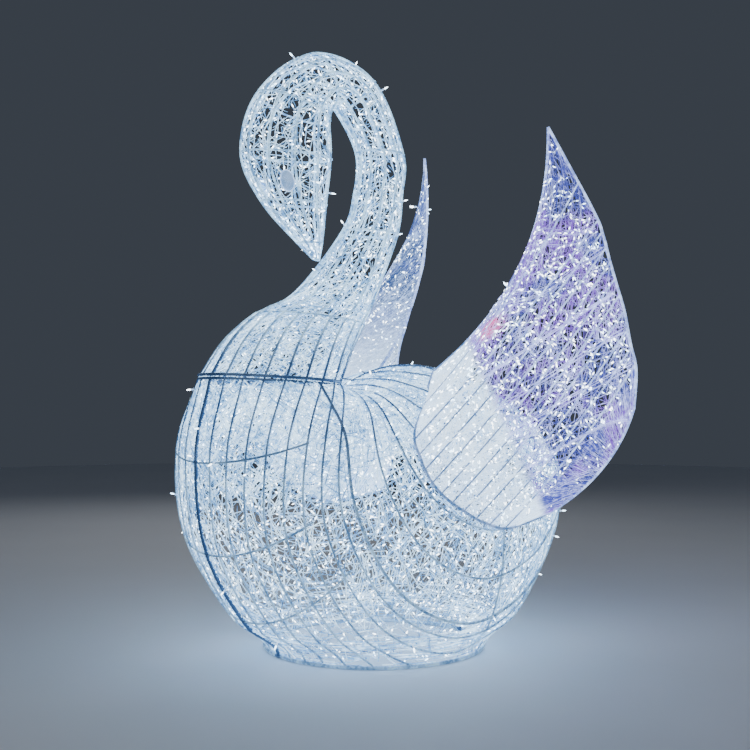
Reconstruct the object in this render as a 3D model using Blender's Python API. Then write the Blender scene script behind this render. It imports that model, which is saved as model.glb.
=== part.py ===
# Lighted garden swan: a welded rod frame over a thin skin of net, with two raised wings.
# Metres. The swan looks along -X, its left side is -Y, and it stands on z = 0 round the origin.
import bpy
import bmesh
import numpy as np
from mathutils import Matrix, Vector

swan_height = 2.0
base_radius = 0.375
joint_gap = 0.0003

# Rods of the body and the neck, measured from their middle line
rod_half_depth = 0.005
rib_half_width = 0.0035
hoop_half_width = 0.0045
keel_half_width = 0.0065
ring_bar_height = 0.012
foot_merge_length = 0.02
rib_share_of_cell = 0.22

# Corners sharper than this sine are cut straight across, and the middle rod is the thick
# keel where its surface faces no further back and no further up than this
mitre_sine = 0.4
keel_faces_back = 0.5
keel_faces_up = 0.75

# Cage points this near the ground, below and above it, are drawn down to it
snap_below_ground = 0.024
snap_above_ground = 0.042

# Rods of the wings
wing_half_depth = 0.004
wing_rib_half_width = 0.003
wing_edge_half_width = 0.007

# Net wound on the rods
net_thickness = 0.003
wing_net_thickness = 0.0025
wing_net_gap = 0.0035

# Eye plates
eye_length = 0.066
eye_width = 0.042
eye_thickness = 0.008
eye_edge_bevel = 0.0025
eye_station = 2.4
eye_angle = 113.0
eye_sides = 14

# The wings stand this far off the true flank, and are cupped this much between their edges;
# the front edge hangs back and down, and the lower edge bulges
wing_clearance = 0.0105
wing_cup = 0.03
front_edge_sag = 0.11
front_edge_drop = 0.045
lower_edge_bulge = 0.022

# Lengthwise ribs
body_ribs = 22
neck_ribs = 11
wing_steps = 4

# Cross sections as shares of the height: back x, back z, breast x, breast z, half width
neck_sections = (
    (-0.1235, 0.6560, -0.1110, 0.6510, 0.0060),   # bill tip
    (-0.1515, 0.6810, -0.1070, 0.6810, 0.0175),   # bill
    (-0.2175, 0.7450, -0.1000, 0.7450, 0.0360),   # brow
    (-0.2540, 0.8210, -0.0905, 0.8210, 0.0460),   # cheek
    (-0.2235, 0.9215, -0.0945, 0.8835, 0.0450),   # nape
    (-0.1265, 0.9960, -0.0850, 0.9105, 0.0420),   # top of the arch
    (-0.0080, 0.9660, -0.0680, 0.9050, 0.0400),   # back of the arch
    (0.0545, 0.8420, -0.0295, 0.8435, 0.0400),    # upper neck
    (0.0520, 0.7725, -0.0335, 0.7725, 0.0410),    # middle of the neck
    (0.0415, 0.7030, -0.0580, 0.7075, 0.0450),    # lower neck
    (-0.0125, 0.5865, -0.1460, 0.6020, 0.0690),   # root of the neck
    (-0.0405, 0.5435, -0.2190, 0.5640, 0.0930),   # throat
    (-0.0705, 0.5020, -0.2700, 0.5205, 0.1200),   # upper breast
    (-0.1030, 0.4450, -0.3100, 0.4600, 0.1445),   # breast joint
)
body_sections = (
    (-0.1030, 0.4450, -0.3100, 0.4600, 0.1445),   # breast joint
    (-0.0780, 0.4380, -0.3360, 0.3250, 0.2150),   # full breast
    (-0.0450, 0.4530, -0.3060, 0.1530, 0.2480),   # fore belly
    (0.0000, 0.4700, -0.1700, -0.0200, 0.2540),   # belly over the front of the base
    (0.0550, 0.4795, 0.0100, -0.0850, 0.2540),    # belly over the middle of the base
    (0.1200, 0.4740, 0.1720, -0.0200, 0.2400),    # belly over the back of the base
    (0.1950, 0.4450, 0.2760, 0.1150, 0.2030),     # rump
    (0.2650, 0.3900, 0.3230, 0.2200, 0.1400),     # tail
    (0.3210, 0.3080, 0.3359, 0.2650, 0.0400),     # tail end
)

# Wing, evenly from its front edge to its lower edge, as shares of the height:
# the foot of a rib on the flank (x, out, z) and its head on the rear edge (x, out, z)
wing_sections = (
    (0.0630, 0.0850, 0.4671, 0.2391, 0.1775, 0.8861),
    (-0.0697, 0.2162, 0.3770, 0.2838, 0.2400, 0.7405),
    (-0.0779, 0.2417, 0.3356, 0.2933, 0.2540, 0.6975),
    (-0.0659, 0.2522, 0.3009, 0.2924, 0.2700, 0.6541),
    (-0.0415, 0.2577, 0.2742, 0.2896, 0.2900, 0.6093),
    (-0.0084, 0.2611, 0.2519, 0.2875, 0.3090, 0.5653),
    (0.0311, 0.2624, 0.2317, 0.2826, 0.3260, 0.5156),
    (0.0843, 0.2595, 0.2199, 0.2859, 0.3360, 0.4700),
    (0.1850, 0.2394, 0.2354, 0.2928, 0.3250, 0.4080),
)

# Where the rows of the lofts lie, counted in sections, and which of them are hoops
neck_rows = (0, 1, 2, 3, 4, 4.5, 5, 5.5, 6, 7, 8, 9, 10, 11, 12)
neck_hoops = (1, 2, 3, 4, 5, 6, 7, 9, 11)
first_full_neck_row = 11
body_rows = (1.05, 1.5, 1.95, 2.35, 2.7, 3.5, 4.4, 5.3, 6.1, 7.1, 8)
body_hoops = (1.05, 1.95, 2.7, 4.4, 6.1)

# Rows of the wing, counted in its sections; the bare ones shape the root but carry no rib
wing_rows = (0, 0.2, 0.4, 0.62, 1.24, 1.86, 2.48, 3.1, 3.72, 4.34, 4.96, 5.58, 6.2, 6.8, 7.4, 8)
bare_wing_rows = (0.2, 0.4)


def spline(keys, t):
    # Smooth curve through evenly numbered keys (Catmull-Rom)
    keys = np.asarray(keys, float)
    padded = np.vstack([2 * keys[0] - keys[1], keys, 2 * keys[-1] - keys[-2]])
    t = np.clip(np.atleast_1d(np.asarray(t, float)), 0, len(keys) - 1)
    i = np.minimum(t.astype(int), len(keys) - 2)
    f = (t - i)[:, None]
    a, b, c, d = padded[i], padded[i + 1], padded[i + 2], padded[i + 3]
    return 0.5 * (2 * b + (c - a) * f + (2 * a - 5 * b + 4 * c - d) * f ** 2
                  + (3 * b - a - 3 * c + d) * f ** 3)


def loft_points(sections, t, angles):
    # Ellipse round each section, from the breast (angle 0) over the left side to the back
    back_x, back_z, breast_x, breast_z, half = (spline(sections, t) * swan_height).T
    middle_x, middle_z = (back_x + breast_x) / 2, (back_z + breast_z) / 2
    c, s = np.cos(angles), np.sin(angles)
    return np.stack([middle_x + (breast_x - middle_x) * c, -half * s,
                     middle_z + (breast_z - middle_z) * c], -1)


def ring_of(sections, t, count, lift=0.0):
    angles = np.arange(count) * 2 * np.pi / count
    return loft_points(sections, t, angles) + np.array((0, 0, lift))


def flank_distance(x, z):
    # Half width of the body at x, z: the section whose back-to-breast line passes through it
    low, high = 0.0, len(body_sections) - 1.0

    def side(t):
        section = spline(body_sections, t)[0] * swan_height
        across = (section[2] - section[0]) * (z - section[1])
        return across - (section[3] - section[1]) * (x - section[0]), section

    start = side(low)[0]
    for _ in range(30):
        middle = (low + high) / 2
        if side(middle)[0] * start > 0:
            low = middle
        else:
            high = middle
    back_x, back_z, breast_x, breast_z, half = side(low)[1]
    reach = np.array((breast_x - back_x, breast_z - back_z)) / 2
    offset = np.array((x - (back_x + breast_x) / 2, z - (back_z + breast_z) / 2))
    c = offset @ reach / (reach @ reach)
    return half * np.sqrt(max(0.0, 1 - c * c))


def loft_cage(rows, hoop_rows, close_last=False):
    # Grid of quads over rings of points; a ring twice as fine as the last takes five-sided cells
    cage = bmesh.new()
    rings = [[cage.verts.new(p) for p in row] for row in rows]
    for upper, lower in zip(rings, rings[1:]):
        n, step = len(upper), len(lower) // len(upper)
        for j in range(n):
            below = [lower[(j * step + k) % len(lower)] for k in range(step + 1)]
            cage.faces.new([upper[j]] + below + [upper[(j + 1) % n]])
    if close_last:
        cage.faces.new(rings[-1][::-1])
    for index in hoop_rows:
        ring = rings[index]
        for j in range(len(ring)):
            cage.edges.get((ring[j], ring[(j + 1) % len(ring)])).seam = True
    for upper, lower in zip(rings, rings[1:]):
        step = len(lower) // len(upper)
        for j in range(len(upper)):
            cage.edges.get((upper[j], lower[j * step])).smooth = False
    cage.normal_update()
    return cage


def flatten_normals(verts, axis):
    # Turns the vertex normals into the plane across the axis, so an end face comes out flat
    for v in verts:
        v.normal = (v.normal - axis * v.normal.dot(axis)).normalized()


def merge_cells(cage):
    # Leaves the ribs, hoops and outer edges only, so each cell is the opening between rods
    spare = [e for e in cage.edges if e.smooth and not e.seam and not e.is_boundary]
    normals = {v: v.normal.copy() for v in cage.verts}
    bmesh.ops.dissolve_edges(cage, edges=spare, use_verts=False)
    for v in cage.verts:
        v.normal = normals[v]


def inset_point(loop, width):
    # Corner of the opening: both neighbouring rods keep their half width there
    here, normal = loop.vert.co, loop.vert.normal
    to_next = loop.link_loop_next.vert.co - here
    to_last = loop.link_loop_prev.vert.co - here
    limit = rib_share_of_cell * min(to_next.length, to_last.length)
    ahead = min(width(loop.edge), limit)
    behind = min(width(loop.link_loop_prev.edge), limit)
    to_next.normalize()
    to_last.normalize()
    sine = to_next.cross(to_last).dot(normal)
    if sine > mitre_sine:
        return here + to_last * (ahead / sine) + to_next * (behind / sine)
    inward = normal.cross(to_next - to_last).normalized()
    return here + inward * max(ahead, behind)


def slab(cage, outer, inner, width=None, solid=()):
    # Closed body between two offsets of the cage; where width is given, each cell that
    # isn't solid is left open and its edges become rods
    body = bmesh.new()
    top = {v: body.verts.new(v.co + v.normal * outer) for v in cage.verts}
    low = {v: body.verts.new(v.co + v.normal * inner) for v in cage.verts}
    middle = (outer + inner) / 2
    for face in cage.faces:
        loops = list(face.loops)
        if width is None or face in solid:
            body.faces.new([top[l.vert] for l in loops])
            body.faces.new([low[l.vert] for l in reversed(loops)])
            continue
        corners = [body.verts.new(inset_point(l, width) + l.vert.normal * middle) for l in loops]
        for i, l in enumerate(loops):
            j = (i + 1) % len(loops)
            a, b = l.vert, loops[j].vert
            body.faces.new((top[a], top[b], corners[j], corners[i]))
            body.faces.new((low[b], low[a], corners[i], corners[j]))
    for edge in cage.edges:
        if edge.is_boundary:
            l = edge.link_loops[0]
            a, b = l.vert, l.link_loop_next.vert
            body.faces.new((top[b], top[a], low[a], low[b]))
    return body


def paint(name, colour, roughness, metallic, alpha=1.0):
    material = bpy.data.materials.new(name)
    material.use_nodes = True
    shader = material.node_tree.nodes["Principled BSDF"]
    shader.inputs["Base Color"].default_value = (*colour, 1)
    shader.inputs["Roughness"].default_value = roughness
    shader.inputs["Metallic"].default_value = metallic
    shader.inputs["Alpha"].default_value = alpha
    material.diffuse_color = (*colour, 1)
    return material


def add_object(name, body, material, parent, sharp_angle=50.0):
    mesh = bpy.data.meshes.new(name)
    body.to_mesh(mesh)
    body.free()
    mesh.shade_smooth()
    mesh.set_sharp_from_angle(angle=np.radians(sharp_angle))
    mesh.materials.append(material)
    piece = bpy.data.objects.new(name, mesh)
    piece.parent = parent
    bpy.context.scene.collection.objects.link(piece)
    return piece


def body_width(edge):
    if edge.seam or edge.is_boundary:
        return hoop_half_width
    keel = all(abs(v.co.y) < 1e-5 and v.normal.x < keel_faces_back and v.normal.z < keel_faces_up
               for v in edge.verts)
    return keel_half_width if keel else rib_half_width


def wing_width(edge):
    return wing_edge_half_width if edge.is_boundary else wing_rib_half_width


def cut_base(cage):
    # Cuts the belly just above the ground, draws the rim out to a circle with its points spaced
    # evenly from the front, and stands an upright bar under it
    top = Vector((0, 0, ring_bar_height))
    for v in cage.verts:
        if -snap_below_ground < v.co.z < snap_above_ground:
            v.co.z = 0
    geometry = cage.verts[:] + cage.edges[:] + cage.faces[:]
    bmesh.ops.bisect_plane(cage, geom=geometry, dist=1e-5, plane_co=top, plane_no=top,
                           clear_inner=True)
    rim = [v for v in cage.verts if v.co.z < ring_bar_height + 1e-4]
    bmesh.ops.remove_doubles(cage, verts=rim, dist=foot_merge_length)
    cage.normal_update()
    rim = [v for v in cage.verts if v.co.z < ring_bar_height + 1e-4]
    rim.sort(key=lambda v: np.arctan2(-v.co.y - 1e-6, -v.co.x))
    front = min(range(len(rim)), key=lambda i: rim[i].co.x)
    foot = []
    for i, v in enumerate(rim):
        turn = 2 * np.pi * (i - front) / len(rim)
        outward = Vector((-np.cos(turn), -np.sin(turn), 0))
        foot.append(cage.verts.new(outward * base_radius))
        v.co = foot[-1].co + top
        v.normal = foot[-1].normal = outward
    bars = []
    for i, v in enumerate(rim):
        j = (i + 1) % len(rim)
        bars.append(cage.faces.new((foot[i], foot[j], rim[j], v)))
        cage.edges.get((v, rim[j])).seam = True
        cage.edges.get((v, foot[i])).smooth = False
    return bars


def frame_and_net(cage, bars, name, steel, net, parent):
    # The rods stand on the cage; the net lies 0.3 mm inside them and leaves the bars bare
    skin = cage.copy()
    skin.faces.ensure_lookup_table()
    cage.faces.index_update()
    normals = {v: twin.normal.copy() for v, twin in zip(skin.verts, cage.verts)}
    bare = [skin.faces[f.index] for f in bars]
    beside_bar = {v for f in bare for v in f.verts}
    bmesh.ops.delete(skin, geom=bare, context="FACES")
    skin.normal_update()
    for v in skin.verts:
        if v in beside_bar:
            normals[v] += v.normal
    bmesh.ops.triangulate(skin, faces=skin.faces[:])
    for v in skin.verts:
        v.normal = normals[v]
    outer = -rod_half_depth - joint_gap
    add_object(name + "_net", slab(skin, outer, outer - net_thickness), net, parent)
    skin.free()
    merge_cells(cage)
    body = slab(cage, rod_half_depth, -rod_half_depth, body_width, set(bars))
    cage.free()
    add_object(name + "_frame", body, steel, parent)


def joint_axis():
    # Across the plane of the breast joint
    back_x, back_z, breast_x, breast_z, _ = body_sections[0]
    return Vector((back_z - breast_z, 0, breast_x - back_x)).normalized()


def build_neck(steel, net, parent):
    rows, hoops = [], []
    for t in neck_rows:
        count = body_ribs if t >= first_full_neck_row else neck_ribs
        if t in neck_hoops:
            hoops.append(len(rows))
        rows.append(ring_of(neck_sections, t, count))
    joint = len(neck_sections) - 1
    hoops.append(len(rows))
    rows.append(ring_of(neck_sections, joint, body_ribs, joint_gap / 2 + ring_bar_height))
    rows.append(ring_of(neck_sections, joint, body_ribs, joint_gap / 2))
    cage = loft_cage(rows, hoops)
    cage.verts.ensure_lookup_table()
    ring = cage.verts[-2 * body_ribs:]
    flatten_normals(ring, joint_axis())
    bars = [f for f in cage.faces if all(v in ring for v in f.verts)]
    frame_and_net(cage, bars, "neck", steel, net, parent)


def build_body(steel, net, parent):
    rows = [ring_of(body_sections, 0, body_ribs, -joint_gap / 2),
            ring_of(body_sections, 0, body_ribs, -joint_gap / 2 - ring_bar_height)]
    hoops = [1]
    for t in body_rows:
        if t in body_hoops:
            hoops.append(len(rows))
        rows.append(ring_of(body_sections, t, body_ribs))
    hoops.append(len(rows) - 1)
    cage = loft_cage(rows, hoops, close_last=True)
    cage.verts.ensure_lookup_table()
    ring = cage.verts[:2 * body_ribs]
    bars = cut_base(cage)
    flatten_normals(ring, joint_axis())
    bars += [f for f in cage.faces if all(v in ring for v in f.verts)]
    frame_and_net(cage, bars, "body", steel, net, parent)


def wing_point(t, w):
    # Ribs run straight from foot (w = 0) to head (w = 1); the front edge hangs in a hollow
    # curve, the lower edge bulges, and the whole blade is cupped and lies clear of the flank
    keys = spline(wing_sections, t)[0] * swan_height
    point = keys[:3] * (1 - w) + keys[3:] * w
    arch = 4 * w * (1 - w)
    hollow = max(0.0, 1 - t) ** 2
    bulge = lower_edge_bulge * max(0.0, t - len(wing_sections) + 2) ** 2
    point += arch * np.array((front_edge_sag * hollow + bulge, wing_cup,
                              -front_edge_drop * hollow - bulge))
    flank = max(flank_distance(point[0], point[2] - drop) for drop in (0.0, wing_clearance))
    point[1] = max(point[1], flank + wing_clearance)
    return point


def build_wing(name, side, steel, net, parent):
    cage = bmesh.new()
    verts = [[cage.verts.new(wing_point(t, j / wing_steps) * (1, side, 1))
              for j in range(wing_steps + 1)] for t in wing_rows]
    for upper, lower in zip(verts, verts[1:]):
        for j in range(wing_steps):
            loop = (upper[j], lower[j], lower[j + 1], upper[j + 1])
            cage.faces.new(loop if side < 0 else loop[::-1])
    for t, row in zip(wing_rows, verts):
        for a, b in zip(row, row[1:]):
            cage.edges.get((a, b)).smooth = t in bare_wing_rows
    cage.normal_update()
    skin = cage.copy()
    bmesh.ops.triangulate(skin, faces=skin.faces[:])
    inner = wing_half_depth + wing_net_gap
    add_object(name + "_net", slab(skin, inner + wing_net_thickness, inner), net, parent)
    skin.free()
    merge_cells(cage)
    body = slab(cage, wing_half_depth, -wing_half_depth, wing_width)
    cage.free()
    add_object(name + "_frame", body, steel, parent)


def build_eye(name, side, material, parent):
    # Oval plate that lies flat on the rods at the side of the head
    angle = np.radians(eye_angle)
    step = 0.01
    here, along, round_it = (Vector(loft_points(neck_sections, t, np.array(a))[0])
                             for t, a in ((eye_station, angle), (eye_station + step, angle),
                                          (eye_station, angle + step)))
    long_axis = (along - here).normalized()
    normal = (round_it - here).cross(long_axis).normalized()
    if normal.y > 0:
        normal = -normal
    cross_axis = normal.cross(long_axis)
    plate = bmesh.new()
    bmesh.ops.create_cone(plate, cap_ends=True, segments=eye_sides, radius1=0.5, radius2=0.5,
                          depth=1)
    bmesh.ops.scale(plate, vec=(eye_length, eye_width, eye_thickness), verts=plate.verts)
    rims = [e for e in plate.edges if abs(e.verts[0].co.z - e.verts[1].co.z) < 1e-6]
    bmesh.ops.bevel(plate, geom=rims, offset=eye_edge_bevel, segments=1, affect="EDGES")
    lift = rod_half_depth + joint_gap + eye_thickness / 2
    basis = Matrix((long_axis, cross_axis, normal)).transposed().to_4x4()
    plate.transform(Matrix.Translation(here + normal * lift) @ basis)
    if side > 0:
        plate.transform(Matrix.Scale(-1, 4, (0, 1, 0)))
        bmesh.ops.reverse_faces(plate, faces=plate.faces)
    add_object(name, plate, material, parent, 30.0)


for old in list(bpy.data.objects):
    bpy.data.objects.remove(old)
swan = bpy.data.objects.new("swan", None)
bpy.context.scene.collection.objects.link(swan)

steel = paint("silver_rod", (0.62, 0.68, 0.76), 0.35, 0.9)
ice_net = paint("ice_white_net", (0.72, 0.85, 1.0), 0.45, 0.0)
violet_net = paint("violet_net", (0.66, 0.62, 0.95), 0.45, 0.0)
blue_net = paint("pale_blue_net", (0.60, 0.72, 0.95), 0.45, 0.0)
eye_blue = paint("pale_blue_plate", (0.55, 0.72, 0.95), 0.3, 0.0)

build_neck(steel, ice_net, swan)
build_body(steel, ice_net, swan)
build_wing("wing_left", -1, steel, violet_net, swan)
build_wing("wing_right", 1, steel, blue_net, swan)
build_eye("eye_left", -1, eye_blue, swan)
build_eye("eye_right", 1, eye_blue, swan)
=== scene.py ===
import bpy
import numpy as np
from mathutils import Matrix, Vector


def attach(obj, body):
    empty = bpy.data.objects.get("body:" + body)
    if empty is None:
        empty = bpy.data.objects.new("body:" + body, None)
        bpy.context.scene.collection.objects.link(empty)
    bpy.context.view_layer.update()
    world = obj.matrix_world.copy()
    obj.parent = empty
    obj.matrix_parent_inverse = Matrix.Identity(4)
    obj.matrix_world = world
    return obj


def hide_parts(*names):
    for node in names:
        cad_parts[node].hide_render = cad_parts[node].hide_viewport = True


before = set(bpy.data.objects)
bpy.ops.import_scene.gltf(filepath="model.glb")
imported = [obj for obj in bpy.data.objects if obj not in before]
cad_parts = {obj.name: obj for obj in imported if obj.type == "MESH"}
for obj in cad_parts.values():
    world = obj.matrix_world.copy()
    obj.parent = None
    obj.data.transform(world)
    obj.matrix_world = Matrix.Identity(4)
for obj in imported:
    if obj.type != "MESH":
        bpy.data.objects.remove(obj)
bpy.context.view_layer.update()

print("frame loaded:", sorted(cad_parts))

# Metres. The swan looks along -X, its left side is -Y, and it stands on z = 0.
swan = {
    "height": 2.0,  # the sections below are shares of this
    "footRadius": 0.375,  # middle line of the foot ring
    "footBar": 0.006,  # radius of the foot ring's bar
    "footBlend": 0.11,  # the skin is drawn in to the foot circle below this height
    "ringOffset": 0.0062,  # the rings of the breast joint lie this far off the joint
}

# The photograph's camera; pixels are those of a frame 750 wide and high
view = {
    "azimuth": -34.0,  # degrees round the swan from its left side
    "distance": 4.13,  # from the swan's upright axis
    "height": 0.914,
    "focal": 1200.0,  # pixels
    "frame": 750.0,
    "axisColumn": 374.0,  # where the upright axis and the horizon fall
    "horizonRow": 378.0,
}
turned = np.radians(view["azimuth"])
viewBack = np.array((np.sin(turned), -np.cos(turned), 0.0))
viewRight = np.array((np.cos(turned), np.sin(turned), 0.0))
eyePoint = viewBack * view["distance"] + (0, 0, view["height"])


def viewRay(column, row):
    # Direction from the camera through a pixel
    return (-viewBack * view["focal"] + viewRight * (column - view["axisColumn"])
            + np.array((0, 0, 1)) * (view["horizonRow"] - row))


# Sections from the bill to the breast joint: back x, back z, breast x, breast z, half width
neckKeys = np.array((
    (-0.1235, 0.6560, -0.1110, 0.6510, 0.0060),  # bill tip
    (-0.1515, 0.6810, -0.1070, 0.6810, 0.0175),  # bill
    (-0.2175, 0.7450, -0.1000, 0.7450, 0.0360),  # brow
    (-0.2540, 0.8210, -0.0905, 0.8210, 0.0460),  # cheek
    (-0.2235, 0.9215, -0.0945, 0.8835, 0.0450),  # nape
    (-0.1265, 0.9960, -0.0850, 0.9105, 0.0420),  # top of the arch
    (-0.0080, 0.9660, -0.0680, 0.9050, 0.0400),  # back of the arch
    (0.0545, 0.8420, -0.0295, 0.8435, 0.0400),  # upper neck
    (0.0520, 0.7725, -0.0335, 0.7725, 0.0410),  # middle of the neck
    (0.0415, 0.7030, -0.0580, 0.7075, 0.0450),  # lower neck
    (-0.0125, 0.5865, -0.1460, 0.6020, 0.0690),  # root of the neck
    (-0.0405, 0.5435, -0.2190, 0.5640, 0.0930),  # throat
    (-0.0705, 0.5020, -0.2700, 0.5205, 0.1200),  # upper breast
    (-0.1030, 0.4450, -0.3100, 0.4600, 0.1445),  # breast joint
)) * swan["height"]

# Sections from the breast joint round the belly to the tail, measured the same way
bodyKeys = np.array((
    (-0.1030, 0.4450, -0.3100, 0.4600, 0.1445),  # breast joint
    (-0.0780, 0.4380, -0.3360, 0.3250, 0.2150),  # full breast
    (-0.0450, 0.4530, -0.3060, 0.1530, 0.2480),  # fore belly
    (0.0000, 0.4700, -0.1700, -0.0200, 0.2540),  # front of the base
    (0.0550, 0.4795, 0.0100, -0.0850, 0.2540),  # middle of the base
    (0.1200, 0.4740, 0.1720, -0.0200, 0.2400),  # back of the base
    (0.1950, 0.4450, 0.2760, 0.1150, 0.2030),  # rump
    (0.2650, 0.3900, 0.3230, 0.2200, 0.1400),  # tail
    (0.3210, 0.3080, 0.3359, 0.2650, 0.0400),  # tail end
)) * swan["height"]

# Ribs of a wing, evenly from its front edge to its lower edge: foot x, out, z, head x, out, z
wingKeys = np.array((
    (0.0630, 0.0850, 0.4671, 0.2391, 0.1775, 0.8861),
    (-0.0697, 0.2162, 0.3770, 0.2838, 0.2400, 0.7405),
    (-0.0779, 0.2417, 0.3356, 0.2933, 0.2540, 0.6975),
    (-0.0659, 0.2522, 0.3009, 0.2924, 0.2700, 0.6541),
    (-0.0415, 0.2577, 0.2742, 0.2896, 0.2900, 0.6093),
    (-0.0084, 0.2611, 0.2519, 0.2875, 0.3090, 0.5653),
    (0.0311, 0.2624, 0.2317, 0.2826, 0.3260, 0.5156),
    (0.0843, 0.2595, 0.2199, 0.2859, 0.3360, 0.4700),
    (0.1850, 0.2394, 0.2354, 0.2928, 0.3250, 0.4080),
)) * swan["height"]


def smoothKeys(keys, t):
    # Catmull-Rom: a cubic between two keys whose slope at each is half the step between
    # that key's neighbours
    padded = np.vstack([2 * keys[0] - keys[1], keys, 2 * keys[-1] - keys[-2]])
    t = np.clip(t, 0, len(keys) - 1)
    i = np.minimum(t.astype(int), len(keys) - 2)
    f = (t - i)[..., None]
    a, b, c, d = padded[i], padded[i + 1], padded[i + 2], padded[i + 3]
    return 0.5 * (2 * b + (c - a) * f + (2 * a - 5 * b + 4 * c - d) * f ** 2
                  + (3 * b - a - 3 * c + d) * f ** 3)


seeded = np.random.default_rng


def span(v):
    # Length of each vector
    return np.linalg.norm(v, axis=-1)


def unit(v):
    # Each vector divided by its length
    return v / np.maximum(span(v)[..., None], 1e-9)


def ease(low, high, value):
    # 0 below low, 1 above high, and the cubic 3f^2 - 2f^3 between
    f = np.clip((value - low) / (high - low), 0, 1)
    return f * f * (3 - 2 * f)


def loftPoint(keys, t, turn):
    # Ellipse round section t: the middle plus reach times cos(turn) in the swan's plane and
    # minus half width times sin(turn) across it; turn 0 is the breast, pi the back
    backX, backZ, breastX, breastZ, half = np.moveaxis(smoothKeys(keys, t), -1, 0)
    c, s = np.cos(turn), np.sin(turn)
    x = (backX + breastX) / 2 + (breastX - backX) / 2 * c
    z = (backZ + breastZ) / 2 + (breastZ - backZ) / 2 * c
    return np.stack([x, -half * s, z], -1)


def neckPoint(t, turn):
    return loftPoint(neckKeys, t, turn)


def bodyPoint(t, turn):
    # The loft, drawn in near the ground to the circle of the foot ring
    p = loftPoint(bodyKeys, t, turn)
    near = 1 - ease(0, swan["footBlend"], p[..., 2])
    flat = np.maximum(np.hypot(p[..., 0], p[..., 1]), 1e-6)
    scale = 1 + near * (swan["footRadius"] / flat - 1)
    return p * np.stack([scale, scale, np.ones_like(scale)], -1)


def flankReach(x, z):
    # Half width of the body at x, z: halving finds the section whose back-to-breast line passes
    # through the point, and the ellipse gives half * sqrt(1 - c^2)
    low, high = np.zeros_like(x), np.full_like(x, len(bodyKeys) - 1.0)

    def lineSide(t):
        s = smoothKeys(bodyKeys, t)
        return (s[..., 2] - s[..., 0]) * (z - s[..., 1]) - (s[..., 3] - s[..., 1]) * (x - s[..., 0])

    start = lineSide(low)
    for _ in range(24):
        middle = (low + high) / 2
        before = lineSide(middle) * start > 0
        low, high = np.where(before, middle, low), np.where(before, high, middle)
    s = smoothKeys(bodyKeys, low)
    reach = (s[..., 2:4] - s[..., 0:2]) / 2
    offset = np.stack([x, z], -1) - (s[..., 2:4] + s[..., 0:2]) / 2
    c = (offset * reach).sum(-1) / (reach * reach).sum(-1)
    return s[..., 4] * np.sqrt(np.clip(1 - c * c, 0, 1))


wing = {
    "cup": 0.03,  # bulge between foot and head
    "frontSag": 0.11,  # the front edge hangs back by this
    "frontDrop": 0.045,  # and down by this
    "lowerBulge": 0.022,  # the lower edge stands out by this
    "clearance": 0.0105,  # least distance off the flank
    "edgeRadius": 0.0048,
    "ribRadius": 0.0028,
    "ribStep": 0.62,  # sections from rib to rib
    "inset": 0.003,  # rods stay this far inside the first and the last section
    "strings": 2,  # light strings between two ribs
    "frontStrings": 5,  # and where the ribs stand wide apart, up to this section
    "frontTo": 1.3,
}
neckLast = len(neckKeys) - 1.0
bodyLast = len(bodyKeys) - 1.02
wingLast = len(wingKeys) - 1.0
wingInside = (wing["inset"], wingLast - wing["inset"])
ribInside = (wing["inset"], 1 - wing["inset"])


def wingPoint(t, w):
    # A straight rib from foot (w 0) to head (w 1) plus 4w(1 - w) times the cup, the hollow of
    # the front edge and the bulge of the lower one; never nearer the flank than the clearance
    keys = smoothKeys(wingKeys, t)
    w = np.broadcast_to(w, keys.shape[:-1])
    p = keys[..., :3] * (1 - w)[..., None] + keys[..., 3:] * w[..., None]
    arch = 4 * w * (1 - w)
    hollow = np.clip(1 - t, 0, 1) ** 2
    bulge = wing["lowerBulge"] * np.clip(t - len(wingKeys) + 2, 0, 1) ** 2
    p = p + arch[..., None] * np.stack([wing["frontSag"] * hollow + bulge,
                                        np.full_like(w, wing["cup"]),
                                        -wing["frontDrop"] * hollow - bulge], -1)
    flank = np.maximum(flankReach(p[..., 0], p[..., 2]),
                       flankReach(p[..., 0], p[..., 2] - wing["clearance"]))
    p[..., 1] = np.maximum(p[..., 1], flank + wing["clearance"])
    return p


def leftWingPoint(t, w):
    return wingPoint(t, w) * (1, -1, 1)


def slopes(shape, t, u, step=2e-3):
    # Change of place for one step of each parameter, from small differences
    along = (shape(t + step, u) - shape(t - step, u)) / (2 * step)
    across = (shape(t, u + step) - shape(t, u - step)) / (2 * step)
    return along, across


def surface(shape, t, u):
    # Points, and outward unit normals from the cross product of the two slopes
    return shape(t, u), unit(np.cross(*slopes(shape, t, u))) * outwardSign[shape]


outwardSign = {neckPoint: 1, bodyPoint: 1, wingPoint: -1, leftWingPoint: 1}


def turnsOf(count):
    # Even angles round a full turn
    return np.arange(count) * 2 * np.pi / count


def levelHelper(axes):
    # For each axis a helper that it doesn't lie along: Z, or X near Z
    return np.where(np.abs(axes[:, 2:3]) < 0.9, (0.0, 0.0, 1.0), (1.0, 0.0, 0.0))


def gridFaces(rows, columns, start=0):
    # Quads between neighbouring rings of a tube; the last column joins the first
    i, j = np.meshgrid(np.arange(rows - 1), np.arange(columns), indexing="ij")
    k = (j + 1) % columns
    quads = np.stack([i * columns + j, (i + 1) * columns + j,
                      (i + 1) * columns + k, i * columns + k], -1)
    return (quads.reshape(-1, 4) + start).tolist()


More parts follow.
